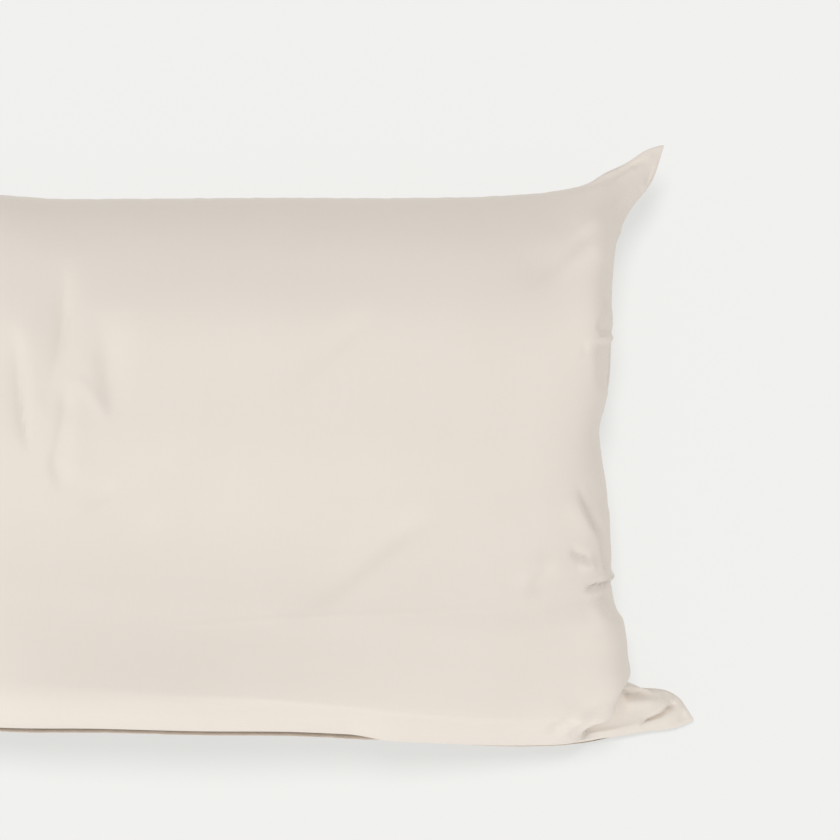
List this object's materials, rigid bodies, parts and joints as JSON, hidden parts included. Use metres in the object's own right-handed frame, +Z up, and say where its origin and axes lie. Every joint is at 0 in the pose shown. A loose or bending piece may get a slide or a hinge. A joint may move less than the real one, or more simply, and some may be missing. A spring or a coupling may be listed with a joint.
{
  "type": "filled pillowcase",
  "caption": "Plain cotton pillowcase filled by its pillow, lying on its back, with a crowned front, drawn-in sides and thin corner ears.",
  "frame": {"origin": "under the middle of the case's bounding box, on the surface that it lies on", "axes": "+X along the case's length towards its closed end, +Y across it towards its upper edge in the picture, +Z up through its crown"},
  "size_m": [0.7208, 0.4896, 0.1619],
  "materials": {
    "cotton_cloth": "plain woven cotton in a warm off-white, matt with a faint sheen"
  },
  "bodies": {
    "root": {"pillowcase": "cotton_cloth"}
  },
  "joints": []
}
